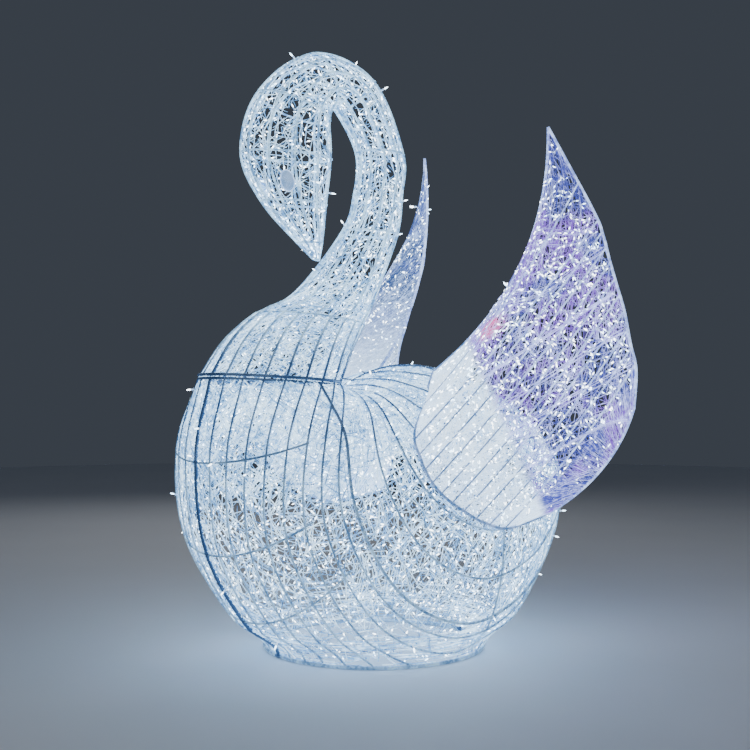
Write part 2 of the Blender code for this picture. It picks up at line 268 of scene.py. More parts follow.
def carried(path, up, radius, sides=8, closed=False):
    # A round profile carried along a path: at each point, radius times side * cos + up * sin
    if closed:
        tangent = unit(np.roll(path, -1, 0) - np.roll(path, 1, 0))
    else:
        tangent = unit(np.gradient(path, axis=0))
    side = unit(np.cross(tangent, up))
    top = np.cross(side, tangent)
    angle = turnsOf(sides)
    ring = side[:, None] * np.cos(angle)[:, None] + top[:, None] * np.sin(angle)[:, None]
    width = np.broadcast_to(radius, len(path))[:, None, None]
    verts = (path[:, None] + width * ring).reshape(-1, 3)
    faces = gridFaces(len(path), sides)
    last = (len(path) - 1) * sides
    if closed:
        faces += [[last + j, j, (j + 1) % sides, last + (j + 1) % sides] for j in range(sides)]
    else:
        faces += [list(range(sides)), [last + j for j in reversed(range(sides))]]
    return verts, faces


def joined(parts):
    # Many meshes as one list of points and one of faces
    verts, faces, count = [], [], 0
    for v, f in parts:
        verts.append(v)
        faces += [[i + count for i in face] for face in f] if count else f
        count += len(v)
    return np.concatenate(verts), faces


def stretched(starts, ends, radius, sides=3):
    # Straight threads as closed prisms: a polygon of the given radius round each end
    tangent = unit(ends - starts)
    side = unit(np.cross(tangent, levelHelper(tangent)))
    top = np.cross(side, tangent)
    angle = turnsOf(sides)
    ring = side[:, None] * np.cos(angle)[:, None] + top[:, None] * np.sin(angle)[:, None]
    ring = ring * np.broadcast_to(radius, len(starts))[:, None, None]
    verts = np.stack([starts[:, None] + ring, ends[:, None] + ring], 1).reshape(-1, 3)
    base = (np.arange(len(starts)) * 2 * sides)[:, None]
    j = np.arange(sides)
    quad = np.stack([j, j + sides, (j + 1) % sides + sides, (j + 1) % sides], -1).reshape(-1)
    quads = (base + quad).reshape(-1, 4).tolist()
    caps = (base + j).tolist() + (base + j[::-1] + sides).tolist()
    return verts, quads + caps


def lathe(profile, sides):
    # Turned shape: radius r at height h of the profile, swept round the Z axis
    r, h = np.array(profile).T
    angle = turnsOf(sides)
    verts = np.stack([r[:, None] * np.cos(angle), r[:, None] * np.sin(angle),
                      h[:, None] + 0 * angle], -1).reshape(-1, 3)
    faces = [face[::-1] for face in gridFaces(len(r), sides)]
    last = (len(r) - 1) * sides
    return verts, faces + [list(range(sides))[::-1], [last + j for j in range(sides)]]


def repeated(template, places, axes, sizes):
    # Copies of a small mesh, each at its place with Z along its axis
    verts, faces = template
    x = unit(np.cross(levelHelper(axes), axes))
    basis = np.stack([x, np.cross(axes, x), axes], 1)
    allVerts = np.einsum("vk,nkc->nvc", verts, basis) * sizes[:, None, None] + places[:, None]
    everyFace = []
    for face in faces:
        everyFace += (np.arange(len(places))[:, None] * len(verts) + face).tolist()
    return allVerts.reshape(-1, 3), everyFace


def placed(name, data):
    # A new object of the scene
    made = bpy.data.objects.new(name, data)
    bpy.context.scene.collection.objects.link(made)
    return made


def makePiece(name, mesh, finish, nodes=(), smooth=True, tone=None):
    # A piece of the swan, and the solids that it replaces
    verts, faces = mesh
    data = bpy.data.meshes.new(name)
    data.from_pydata(verts.tolist(), [], faces)
    if smooth:
        data.shade_smooth()
    if tone is not None:
        values = data.attributes.new("tone", "FLOAT", "POINT").data
        values.foreach_set("value", np.broadcast_to(tone, len(verts)).astype(np.float32))
    data.materials.append(finish)
    piece = placed(name, data)
    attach(piece, "root")
    if nodes:
        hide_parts(*nodes)
    triangles = sum(len(face) - 2 for face in faces)
    print("piece:", name, triangles, "triangles")


class Wire:
    # A node's output; the operators add Math nodes, so that masks read as plain sums
    def __init__(self, finish, socket):
        self.finish, self.socket = finish, socket

    def math(self, operation, first, second):
        return self.finish.node("ShaderNodeMath", {"operation": operation}, {0: first, 1: second})

    def __add__(self, other):
        return self.math("ADD", self, other)

    def __radd__(self, other):
        return self.math("ADD", other, self)

    def __sub__(self, other):
        return self.math("SUBTRACT", self, other)

    def __rsub__(self, other):
        return self.math("SUBTRACT", other, self)

    def __mul__(self, other):
        return self.math("MULTIPLY", self, other)

    def __rmul__(self, other):
        return self.math("MULTIPLY", other, self)


class Finish:
    # One material: plain values go straight on the shader, wires are linked to it
    def __init__(self, name, **values):
        self.material = bpy.data.materials.new(name)
        self.material.use_nodes = True
        self.tree = self.material.node_tree
        self.shader = self.tree.nodes["Principled BSDF"]
        self.place = self.node("ShaderNodeTexCoord", out="Object")
        self.set(**values)

    def node(self, kind, settings=None, inputs=None, out=0):
        made = self.tree.nodes.new(kind)
        for key, value in (settings or {}).items():
            if key == "stops":
                ramp = made.color_ramp
                while len(ramp.elements) < len(value):
                    ramp.elements.new(1.0)
                for element, (position, colour) in zip(ramp.elements, value):
                    element.position, element.color = position, (*colour, 1)
            else:
                setattr(made, key, value)
        for key, value in (inputs or {}).items():
            self.feed(made.inputs[key], value)
        return Wire(self, made.outputs[out])

    def feed(self, socket, value):
        if isinstance(value, Wire):
            self.tree.links.new(value.socket, socket)
        elif isinstance(value, tuple) and len(value) == 3 and socket.type == "RGBA":
            socket.default_value = (*value, 1)
        else:
            socket.default_value = value

    def set(self, **values):
        for key, value in values.items():
            self.feed(self.shader.inputs[key.replace("_", " ")], value)

    def noise(self, scale, detail=2.0):
        return self.node("ShaderNodeTexNoise", {},
                         {"Vector": self.place, "Scale": scale, "Detail": detail})

    def along(self, axis):
        return self.node("ShaderNodeSeparateXYZ", {}, {0: self.place}, out=axis)

    def most(self, first, second):
        return self.node("ShaderNodeMath", {"operation": "MAXIMUM"}, {0: first, 1: second})

    def blend(self, mask, first, second):
        return self.node("ShaderNodeMix", {"data_type": "RGBA"},
                         {0: mask, 6: first, 7: second}, out=2)

    def step(self, low, high, value):
        return self.node("ShaderNodeMapRange", {"interpolation_type": "SMOOTHSTEP"},
                         {"Value": value, "From Min": low, "From Max": high})

    def beyond(self, patch):
        # 0 before the plane place . across = edge, 1 behind it, soft on both sides of it
        reach = self.node("ShaderNodeVectorMath", {"operation": "DOT_PRODUCT"},
                          {0: self.place, 1: patch["across"]}, out="Value")
        return self.step(patch["edge"] - patch["soft"], patch["edge"] + patch["soft"], reach)

    def bump(self, height, distance, strength=0.6):
        self.set(Normal=self.node("ShaderNodeBump", {}, {"Height": height, "Distance": distance,
                                                         "Strength": strength}))

    def dim(self):
        # Glowing surfaces this small light nothing by themselves
        self.material.cycles.emission_sampling = "NONE"
        return self.material


def windings(f, blue, white):
    # Milky turns of lit string on a bar, from blue to white, which the finishes also use as a
    # painted glow
    turns = f.step(0.38, 0.62, f.noise(75.0)) * 0.6 + f.step(0.40, 0.62, f.noise(14.0, 3.0)) * 0.5
    return f.blend(turns, blue, white), turns


def barFinish():
    # Round aluminium bar, blue and worn: bare on the breast and darkest on the keel, wound with
    # lit string and paler on the belly, and wound all over on the upper neck and the head
    look = {"clean": (0.36, 0.50, 0.66), "dull": (0.05, 0.10, 0.20), "glow": (0.008, 0.020, 0.05),
            "blue": (0.08, 0.19, 0.36), "white": (0.42, 0.68, 0.88)}
    f = Finish("weatheredBar", Emission_Strength=1.8)
    worn = f.step(0.40, 0.64, f.noise(7.0, 4.0))
    low = 1.0 - f.step(0.50, 0.80, f.along("Z"))
    high = f.step(0.92, 1.20, f.along("Z"))
    aside = f.most(f.along("Y"), 0.0 - f.along("Y"))
    keel = (1.0 - f.step(0.010, 0.022, aside)) * (1.0 - high)
    wound = f.most(low * 0.38, high) * (1.0 - keel)
    string = windings(f, look["blue"], look["white"])[0]
    bare = f.blend(worn * (1.0 - keel * 0.7), look["dull"], look["clean"])
    # painted light: the bare bar glows faintly blue (the look's glow), the wound string with the
    # painted glow of its turns
    f.set(Base_Color=f.blend(wound, bare, string),
          Metallic=0.75 - 0.75 * wound,
          Roughness=0.3 + 0.3 * f.noise(60.0),
          Emission_Color=f.blend(wound, look["glow"], string))
    f.bump(f.noise(420.0, 3.0), 0.0006, 0.4)
    return f.dim()


def woundFinish(name, patch):
    # A wing's bar wound with lit string, in painted glow: a deep blue line of painted shade over
    # the lit body, pale further out
    look = {"blue": (0.17, 0.24, 0.58), "white": (0.50, 0.66, 1.0), "root": (0.03, 0.09, 0.22)}
    f = Finish(name, Roughness=0.4, Emission_Strength=1.8)
    string, turns = windings(f, look["blue"], look["white"])
    # painted shade: over the body the wound bar is dark, as it stands against the body's glow
    over = f.blend(turns * 0.30, look["root"], look["white"])
    colour = f.blend(f.beyond(patch), over, string)
    f.set(Base_Color=colour, Emission_Color=colour)
    f.bump(f.noise(300.0), 0.0008, 0.5)
    return f.dim()


def threadFinish(name, look, glow):
    # Clear and white thread, glowing with painted light: each has a tone of its own from deep blue
    # over ice blue to white, and all are whiter where light gathers and over the breast
    f = Finish(name, Roughness=0.38, Emission_Strength=glow)
    tone = f.node("ShaderNodeAttribute", {"attribute_name": "tone"}, out="Fac")
    gathered = f.step(0.42, 0.64, f.noise(8.0, 3.0))
    fine = f.step(0.36, 0.64, f.noise(65.0))
    # painted light: threads whiter over the breast, up to the root of the neck
    breast = f.step(0.50, 0.72, f.along("Z")) * (1.0 - f.step(1.05, 1.30, f.along("Z")))
    f.mask = tone * 0.72 + gathered * 0.20 + fine * 0.28 + breast * 0.10 - 0.06
    stops = (0.0, look["shade"]), (0.42, look["ice"]), (0.92, look["white"])
    colour = f.node("ShaderNodeValToRGB", {"stops": stops}, {"Fac": f.mask}, out="Color")
    f.set(Base_Color=f.blend(0.6, colour, look["shade"]), Emission_Color=colour)
    f.bump(f.noise(900.0, 1.0), 0.0003, 0.3)
    return f


print("shapes and finishes ready")

rods = {
    "keel": 0.0065,  # radii
    "rib": 0.0034,
    "hoop": 0.0034,
    "ring": 0.0050,
    "shoulder": 0.0048,
    "neckPoints": 8.9,  # points of a neck rod's path to a section
    "from": 0.03,  # section that the body's rods start at
    "neckFrom": 0.06,  # and that the neck's start at
    "neckFront": 0.8,  # the neck's front rib against the keel
    "tip": 0.6,  # and the bill's tip against a rib
    "taper": (1.6, 0.45, 0.7),  # sections from the bill, share of thickness there, and gain
    "floor": 0.004,  # a rod stops where its middle line comes this low
    "bodyRibs": 22,  # places on the breast joint's ring
    "fanned": 9,  # ribs to each side of the keel that start there
    "spine": (180, 216, 252, 288, 324, 360, 396, 432),  # start angles of the ribs behind them
    "share": (0.4, 0.68),  # of its start angle a rib keeps in the end, and how fast
    "bend": (94.0, 144.0),  # the shoulder bar's angle above and start angle below
    "bendSoft": 0.09,  # how softly it passes from one to the other
    "neckRibs": 11,
    "fullNeckFrom": 11.0,  # the neck has the body's ribs from this section down
    "frontHoops": ((1.0, 70), (1.85, 60), (2.46, 62)),  # section, degrees to each side
    "rearHoops": (4.4, 6.3),
    "neckHoops": (1, 2, 3, 4, 5, 6, 7, 9, 11),
}


def share(t):
    # What a rib keeps of its start angle at section t: 0.4 + 0.6 exp(-0.68 t)
    least, rate = rods["share"]
    return least + (1 - least) * np.exp(-rate * t)


def fanPoint(t, start):
    # The body's skin once more, with the ribs as its lines: turn = start times share(t)
    return bodyPoint(t, start * share(t))


def leavesSpine(start):
    # The section at which start times share(t) comes down to half a turn
    least, rate = rods["share"]
    return -np.log(np.clip((np.pi / np.maximum(start, np.pi) - least) / (1 - least), 1e-3, 1)) / rate


outwardSign[fanPoint] = 1


def runsAbove(points, normals):
    # Stretches of a path above the rods' floor
    above = points[:, 2] > rods["floor"]
    edges = np.flatnonzero(np.diff(np.concatenate([[0], above.astype(int), [0]])))
    pairs = edges.reshape(-1, 2)
    return [(points[a:b], normals[a:b]) for a, b in pairs if b - a > 2]


def rodsAlong(shape, t, turn, radius):
    # Rods along the stretches of a line above the floor
    return [carried(p, n, radius) for p, n in runsAbove(*surface(shape, t, turn))]


def hoopPath(shape, t, count=96):
    # A hoop: one section carried all the way round
    return surface(shape, np.full(count, float(t)), turnsOf(count))


def spineStarts():
    # Start angles of every rib of the body on one side, in radians
    step = 2 * np.pi / rods["bodyRibs"]
    return np.concatenate([np.arange(1, rods["fanned"]) * step, np.radians(rods["spine"])])


def softLesser(first, second, soft):
    # The lesser of two, with a round passage: -soft * ln(exp(-first/soft) + exp(-second/soft))
    return -soft * np.logaddexp(-first / soft, -second / soft)


def buildBodyRods(finish):
    # Keel, back rib, fanned ribs, shoulder bars, hoops and the two rings
    parts = []
    first, last = rods["from"], bodyLast
    t = np.linspace(first, last, 150)
    for p, n in runsAbove(*surface(bodyPoint, t, 0 * t)):
        parts.append(carried(p, n, rods["keel"] if p[0, 0] < 0 else rods["rib"]))
    parts += rodsAlong(bodyPoint, t, 0 * t + np.pi, rods["rib"])
    above, below = np.radians(rods["bend"])
    for side in (-1, 1):
        for start in spineStarts():
            low = max(first, leavesSpine(start))
            t = np.linspace(low, last, max(12, int((last - low) * 18)))
            parts += rodsAlong(fanPoint, t, 0 * t + start * side, rods["rib"])
        t = np.linspace(first, last, 150)
        bent = softLesser(above, below * share(t), rods["bendSoft"])
        parts += rodsAlong(bodyPoint, t, bent * side, rods["shoulder"])
    for t, reach in rods["frontHoops"]:
        turn = np.radians(np.linspace(-reach, reach, 60))
        parts += rodsAlong(bodyPoint, 0 * turn + t, turn, rods["hoop"])
    for t in rods["rearHoops"]:
        turn = np.radians(np.linspace(0, 360, 121)) + 1e-3
        parts += rodsAlong(bodyPoint, 0 * turn + t, turn, rods["rib"])
    parts.append(carried(*hoopPath(bodyPoint, last, 32), rods["rib"], closed=True))
    points, normals = hoopPath(bodyPoint, 0.0)
    parts.append(carried(points - (0, 0, swan["ringOffset"]), normals, rods["ring"], closed=True))
    around = turnsOf(120)
    outward = np.stack([np.cos(around), np.sin(around), 0 * around], -1)
    circle = outward * swan["footRadius"] + (0, 0, swan["footBar"])
    parts.append(carried(circle, outward, swan["footBar"], closed=True))
    makePiece("bodyRods", joined(parts), finish, ["body_frame"])


def buildNeckRods(finish):
    # Ribs that thin out towards the bill, hoops, the ring and the bill's tip
    parts = []
    last = neckLast
    over, least, gain = rods["taper"]
    for k, turn in enumerate(turnsOf(rods["bodyRibs"])):
        low = rods["neckFrom"] if k % 2 == 0 else rods["fullNeckFrom"]
        thick = rods["keel"] * rods["neckFront"] if k == 0 else rods["rib"]
        t = np.linspace(low, last, int((last - low) * rods["neckPoints"]) + 6)
        points, normals = surface(neckPoint, t, np.full_like(t, turn))
        parts.append(carried(points, normals, thick * (ease(0.0, over, t) * gain + least)))
    for t in rods["neckHoops"]:
        parts.append(carried(*hoopPath(neckPoint, t, 48), rods["hoop"], closed=True))
    points, normals = hoopPath(neckPoint, last)
    parts.append(carried(points + (0, 0, swan["ringOffset"]), normals, rods["ring"], closed=True))
    tip = hoopPath(neckPoint, rods["neckFrom"], 12)
    parts.append(carried(*tip, rods["rib"] * rods["tip"], sides=5, closed=True))
    makePiece("neckRods", joined(parts), finish, ["neck_frame"])


def wingRibs():
    # Sections of a wing's ribs, evenly from the front edge, and of its lower edge
    count = int(wingLast / wing["ribStep"])
    return np.append(np.arange(count) * wing["ribStep"], wingLast)


def wingStrings():
    # Light strings evenly between neighbouring ribs
    ribs = wingRibs()
    lines = []
    for first, last in zip(ribs, ribs[1:]):
        count = wing["frontStrings"] if last < wing["frontTo"] else wing["strings"]
        lines += [first + (last - first) * (m + 0.5) / count for m in range(count)]
    return lines


def buildWingRods(shape, name, node, finish):
    # Ribs from foot to head, and the two edges that join them
    parts = []
    w = np.linspace(0, 1, 40)
    ribs = wingRibs()
    for k, t in enumerate(ribs):
        edge = k in (0, len(ribs) - 1)
        points, normals = surface(shape, np.full_like(w, np.clip(t, *wingInside)), w)
        parts.append(carried(points, normals, wing["edgeRadius"] if edge else wing["ribRadius"]))
    t = np.linspace(*wingInside, 90)
    for w0 in (0.0, 1.0):
        parts.append(carried(*surface(shape, t, np.full_like(t, w0)), wing["edgeRadius"]))
    makePiece(name, joined(parts), finish, [node])


def wingPlaceAt(shape, column, row):
    # The place on a wing that a pixel shows: of a fine grid, the point nearest to its ray
    t, w = np.meshgrid(np.linspace(0, wingLast, 160), np.linspace(0, 1, 160))
    p = shape(t, w)
    off = span(np.cross(p - eyePoint, unit(viewRay(column, row))))
    return p.reshape(-1, 3)[np.argmin(off)]


def planeThrough(first, second, beyond):
    # Plane through the camera and two pixels; positive on the side of a third one
    normal = unit(np.cross(viewRay(*first), viewRay(*second)))
    normal = normal * np.sign(normal @ viewRay(*beyond))
    return tuple(normal), float(normal @ eyePoint)


# Pixels: the edge where the left wing leaves the body behind it, and the rosy spot
wingMarks = {"edgeTop": (462, 330), "edgeLow": (547, 518), "outside": (600, 300),
             "spot": (490, 327)}
across, edge = planeThrough(wingMarks["edgeTop"], wingMarks["edgeLow"], wingMarks["outside"])
leftPatch = {"across": across, "edge": edge, "soft": 0.02, "spotRadius": 0.075,
             "spot": tuple(wingPlaceAt(leftWingPoint, *wingMarks["spot"]))}
rightPatch = {"across": (0, 0, 1), "edge": 1.05, "soft": 0.25, "spot": (0, 0, -1),
              "spotRadius": 0.02}

bar = barFinish()
buildBodyRods(bar)
buildNeckRods(bar)
buildWingRods(leftWingPoint, "wingLeftRods", "wing_left_frame",
              woundFinish("woundWingBar", leftPatch))
buildWingRods(wingPoint, "wingRightRods", "wing_right_frame",
              woundFinish("woundFarBar", rightPatch))
print("rods done")


def scattered(shape, perArea, low, high, around, rng, drawn=300000):
    # Random places over a skin, perArea of them to each square metre: each of many places
    # drawn evenly in both parameters is kept with the chance perArea times its share of area
    t = rng.uniform(low, high, drawn)
    turn = rng.uniform(0, around, drawn)
    along, across = slopes(shape, t, turn)
    patch = (high - low) * around / drawn
    area = span(np.cross(along, across)) * patch
    kept = rng.random(drawn) < area * perArea(shape(t, turn))
    return t[kept], turn[kept]


threads = {
    "radius": (0.0011, 0.0021),  # thinnest and thickest
    "length": (0.045, 0.105),
    "families": (0.55, -0.72),  # lean from the hoops of the two crossing families
    "spread": 0.30,
    "wild": 0.28,  # share that lies at any lean
    "lift": 0.0035,  # how far inside the skin threads may lie
    "dense": 5600.0,  # threads to a square metre of breast and neck root
    "open": 1100.0,  # of the belly and the head
    "wing": 15000.0,  # of a wing over the body
    "wingFar": 0.55,  # share of them that is left further out
    "wingDrawn": 90000,  # places drawn for them
    "from": 0.04,  # section that the others start at
    "floor": 0.006,  # no thread ends lower
    "levelBelow": 0.13,  # near the foot this share of the threads lies level
    "levelShare": 0.75,
    "neckLength": 0.75,  # threads of the neck and the wings against the body's
    "neckThick": 0.85,
    "wingThick": 0.72,
    "wingLift": 0.0008,  # lift for the wings
    "wingSlope": 0.026,  # a wing's thread slants by this share of the rib
    "wingFace": 0.3,  # and lies this share of the rib's radius out
}

# Long strings laid slantwise over each wing, in bands of a few strands
bands = {
    "count": 9,
    "strands": 3,
    "scatter": 0.012,  # of the strands, as a share of the wing's breadth
    "from": -0.5,  # where the first band starts, measured the same way
    "slant": 0.42,  # how far a band moves over from foot to head
    "ends": (0.03, 0.97),  # shares of a rib between which it and the light strings run
    "radius": 0.0011,
    "off": 0.0018,  # off the ribs' surface
}

# Where the nets of body and neck are dense, and how full they are below
dense = {
    "edge": (0.56, 0.12, 0.05),  # height in front, how much higher behind, and softness
    "behind": (-0.50, -0.28),
    "keel": (0.22, 0.06, 0.16),  # share, and distances from the middle plane where it fades
    "rear": (0.20, 0.05, 0.30),
    "foot": (0.25, 0.07, 0.16),  # share, and heights
    "neck": (1.08, 1.34),  # heights over which the neck's net opens
    "neckOpen": 1.25,
}


def leans(count, rng):
    # Two crossing families of angles, and some at random
    first = rng.random(count) < 0.5
    lean = np.where(first, *threads["families"]) + rng.normal(0, threads["spread"], count)
    anyLean = rng.uniform(-np.pi / 2, np.pi / 2, count)
    return np.where(rng.random(count) < threads["wild"], anyLean, lean)


def laid(shape, t, turn, lean, length, level=False):
    # Straight threads through places of a skin. A step of sin(lean) along it and cos(lean)
    # across it is divided by the length that one step of each parameter covers; a level
    # thread takes the steps that leave the height as it is
    along, across = slopes(shape, t, turn)
    stepT = np.sin(lean) / np.maximum(span(along), 0.02)
    stepTurn = np.cos(lean) / np.maximum(span(across), 0.02)
    flatT, flatTurn = across[..., 2], -along[..., 2]
    size = span(along * flatT[..., None] + across * flatTurn[..., None])
    size = np.maximum(size, 1e-4)
    stepT = np.where(level, flatT / size, stepT) * length / 2
    stepTurn = np.clip(np.where(level, flatTurn / size, stepTurn) * length / 2, -0.7, 0.7)
    return surface(shape, t - stepT, turn - stepTurn), surface(shape, t + stepT, turn + stepTurn)


def threadMesh(ends, rng, lift, thick=1.0):
    # Each end moves in by a random share of the lift, or a little out; gives mesh and tones
    (a, aNormal), (b, bNormal) = ends
    off = rng.uniform(-1, 0.2, (2, len(a), 1)) * lift
    a, b = a + aNormal * off[0], b + bNormal * off[1]
    keep = np.minimum(a[:, 2], b[:, 2]) > threads["floor"]
    a, b = a[keep], b[keep]
    low, high = threads["radius"]
    radius = (low + (high - low) * rng.random(len(a)) ** 2) * thick
    tone = rng.random(len(a))
    return stretched(a, b, radius), np.repeat(tone, 6)


def lengths(count, rng):
    # Lengths of threads, evenly at random
    return rng.uniform(*threads["length"], count)


def bodyDensity(p):
    # Dense over the breast, the shoulders and the back, half open beside the keel and behind,
    # open on the belly, denser again by the foot
    x, y, z = p[..., 0], np.abs(p[..., 1]), p[..., 2]
    front, rise, soft = dense["edge"]
    edge = front + rise * ease(*dense["behind"], x)
    high = ease(edge - soft, edge + soft, z)
    keel = dense["keel"][0] * (1 - ease(*dense["keel"][1:], y)) * (x < 0)
    rear = dense["rear"][0] * ease(*dense["rear"][1:], x)
    foot = dense["foot"][0] * (1 - ease(*dense["foot"][1:], z))
    filled = high * (1 - keel) + (keel + rear + foot) * (1 - high)
    return threads["open"] + (threads["dense"] - threads["open"]) * np.minimum(filled, 1)


def neckDensity(p):
    # Open on the head and the upper neck, dense at the root
    upper = ease(*dense["neck"], p[..., 2])
    return threads["dense"] + (threads["open"] * dense["neckOpen"] - threads["dense"]) * upper


def wingDensity(patch):
    # Dense over the body, more open beyond the patch's plane
    def perArea(p):
        reach = p @ np.array(patch["across"])
        far = ease(patch["edge"] - patch["soft"], patch["edge"] + patch["soft"], reach)
        return threads["wing"] * (1 + (threads["wingFar"] - 1) * far)
    return perArea


def buildBodyThreads(finish):
    rng = seeded(11)
    t, turn = scattered(bodyPoint, bodyDensity, threads["from"], bodyLast, 2 * np.pi, rng)
    low = bodyPoint(t, turn)[:, 2] < threads["levelBelow"]
    level = low & (rng.random(len(t)) < threads["levelShare"])
    ends = laid(bodyPoint, t, turn, leans(len(t), rng), lengths(len(t), rng), level)
    mesh, tone = threadMesh(ends, rng, threads["lift"])
    makePiece("bodyThreads", mesh, finish, ["body_net"], False, tone)


def buildNeckThreads(finish):
    rng = seeded(12)
    t, turn = scattered(neckPoint, neckDensity, threads["from"], neckLast, 2 * np.pi, rng)
    lean = leans(len(t), rng)
    ends = laid(neckPoint, t, turn, lean, lengths(len(t), rng) * threads["neckLength"])
    mesh, tone = threadMesh(ends, rng, threads["lift"], thick=threads["neckThick"])
    makePiece("neckThreads", mesh, finish, ["neck_net"], False, tone)


def wingNet(shape, patch, rng):
    # Threads between the ribs and light strings, each to the next but one, on both faces
    lines = np.sort(np.concatenate([wingRibs(), wingStrings()]))
    t, w = scattered(shape, wingDensity(patch), 0, wingLast, 1, rng, threads["wingDrawn"])
    k = np.clip(np.searchsorted(lines, t) - rng.integers(1, 3, len(t)), 0, len(lines) - 3)
    slope = rng.normal(0, threads["wingSlope"], len(t))
    first, last = np.clip(lines[k], *wingInside), np.clip(lines[k + 2], *wingInside)
    a, aNormal = surface(shape, first, np.clip(w - slope, *ribInside))
    b, bNormal = surface(shape, last, np.clip(w + slope, *ribInside))
    face = np.where(rng.random(len(t)) < 0.5, -1.0, 1.0)[:, None]
    face = face * wing["ribRadius"] * threads["wingFace"]
    ends = ((a + aNormal * face, aNormal), (b + bNormal * face, bNormal))
    return threadMesh(ends, rng, threads["wingLift"], thick=threads["wingThick"])


def wingBands(shape, rng):
    # Strands from foot to head, moving over by the slant as they rise
    parts = []
    steps = np.linspace(0, 1, 18)
    w = np.linspace(*bands["ends"], 18)
    low, high = wingInside
    for n in range(bands["count"]):
        start = (n + rng.uniform(0.2, 0.8)) / bands["count"]
        start = start * (1 - bands["from"]) + bands["from"]
        for strand in rng.normal(0, bands["scatter"], bands["strands"]):
            t = high * (start + bands["slant"] * steps + strand)
            inside = (t > low) & (t < high)
            if inside.sum() > 2:
                points, normals = surface(shape, t[inside], w[inside])
                for side in (-1, 1):
                    path = points + normals * side * (wing["ribRadius"] + bands["off"])
                    parts.append(carried(path, normals, bands["radius"], sides=4))
    return parts


def buildWingThreads(shape, name, node, finish, patch, seed):
    # The net and the bands as one mesh; the bands are white
    rng = seeded(seed)
    mesh, tone = wingNet(shape, patch, rng)
    whole = joined([mesh] + wingBands(shape, rng))
    tone = np.append(tone, np.ones(len(whole[0]) - len(tone)))
    makePiece(name, whole, finish, [node], False, tone)


def wingThreadFinish(name, outer, patch, glow):
    # Painted glow: ice white over the lit body behind, blue and violet further out, with a rosy spot
    f = threadFinish(name, root, glow)
    far = f.beyond(patch)
    reach = f.node("ShaderNodeVectorMath", {"operation": "DISTANCE"},
                   {0: f.place, 1: patch["spot"]}, out="Value")
    # painted light: a rosy spot on the threads
    rosy = 1.0 - f.step(patch["spotRadius"] * 0.4, patch["spotRadius"], reach)
    mottled = f.step(0.44, 0.58, f.noise(6.0, 3.0))
    cold = f.blend(mottled, outer["blue"], outer["violet"])
    cold = f.blend(rosy * 0.85, cold, outer["rose"])
    cold = f.blend(f.mask * 1.5 - 0.68, cold, outer["white"])
    # painted light: the threads over the lit body are ice white
    ice = f.blend(f.mask * 0.8 + 0.30, root["ice"], root["white"])
    colour = f.blend(far, ice, cold)
    f.set(Emission_Color=colour, Base_Color=f.blend(0.55, colour, root["shade"]))
    return f.dim()


# Colours of the threads' painted glow; root is that of the wing threads over the lit body
icy = {"shade": (0.012, 0.045, 0.13), "ice": (0.13, 0.31, 0.56), "white": (0.60, 0.84, 1.0)}
root = {"shade": (0.012, 0.045, 0.13), "ice": (0.22, 0.40, 0.68), "white": (0.66, 0.84, 1.0)}
violet = {"blue": (0.035, 0.045, 0.26), "violet": (0.15, 0.055, 0.42), "white": (0.48, 0.55, 1.0),
          "rose": (0.60, 0.06, 0.20)}
dusk = {"blue": (0.02, 0.045, 0.14), "violet": (0.05, 0.08, 0.26), "white": (0.42, 0.60, 0.95),
        "rose": (0.10, 0.14, 0.36)}

ice = threadFinish("iceThreads", icy, 2.4).dim()
buildBodyThreads(ice)
buildNeckThreads(ice)
violetLook = wingThreadFinish("violetThreads", violet, leftPatch, 2.1)
duskLook = wingThreadFinish("duskThreads", dusk, rightPatch, 1.9)
buildWingThreads(leftWingPoint, "wingLeftThreads", "wing_left_net", violetLook,
                 leftPatch, 13)
buildWingThreads(wingPoint, "wingRightThreads", "wing_right_net", duskLook,
                 rightPatch, 14)
print("threads done")


lights = {
    "spacing": 0.046,  # along a string
    "perCell": 2,  # strings between two ribs
    "jitter": 0.011,  # how far bulbs stray from it
    "standing": 0.022,  # share of bulbs that stand out of the net
    "standingSize": 1.05,
    "lying": 0.82,  # size of the others
    "vary": (0.85, 1.1),  # all sizes vary by this
    "splay": 0.45,  # how far standing bulbs lean over
    "rise": 0.05,  # how far the others rise out of the skin
    "sunk": 0.008,  # how far inside the skin those lie
    "wire": 0.0015,  # radius, and tone as a thread's
    "wireTone": 0.75,
    # turned profiles: radius, height
    "holder": ((0.0016, 0.0), (0.0027, 0.002), (0.0025, 0.012)),
    "bulb": ((0.0021, 0.0115), (0.0027, 0.016), (0.0024, 0.022), (0.0007, 0.0262)),
    "sides": 5,
    "longestLink": 2.2,  # wires join bulbs no further apart than so many spacings
    "bodyTo": 7.9,  # ends of the strings, as sections
    "neckEnds": (0.3, 12.9),
    "wingSections": (0.01, 7.99),
    "floor": 0.02,  # no bulb and no wire lower than these
    "wireFloor": 0.01,
}


def stringPlaces(shape, u, low, high, rng, onWing):
    # Places at even steps of true length along a line of constant u, each shifted at random
    def path(a, b):
        return shape(b, a) if onWing else shape(a, b)

    t = np.linspace(low, high, 260)
    points = path(t, np.full_like(t, u))
    run = np.concatenate([[0], np.cumsum(span(np.diff(points, axis=0)))])
    count = max(2, int(run[-1] / lights["spacing"]))
    at = (np.arange(count) + 0.5 + rng.uniform(-0.3, 0.3, count)) * run[-1] / count
    along = np.interp(at, run, t)
    step = 0.01
    aside = path(along, np.full(count, u + step)) - path(along, np.full(count, u - step))
    width = span(aside) / (2 * step)
    shift = rng.normal(0, lights["jitter"], count) / np.maximum(width, 0.03)
    return along, u + shift


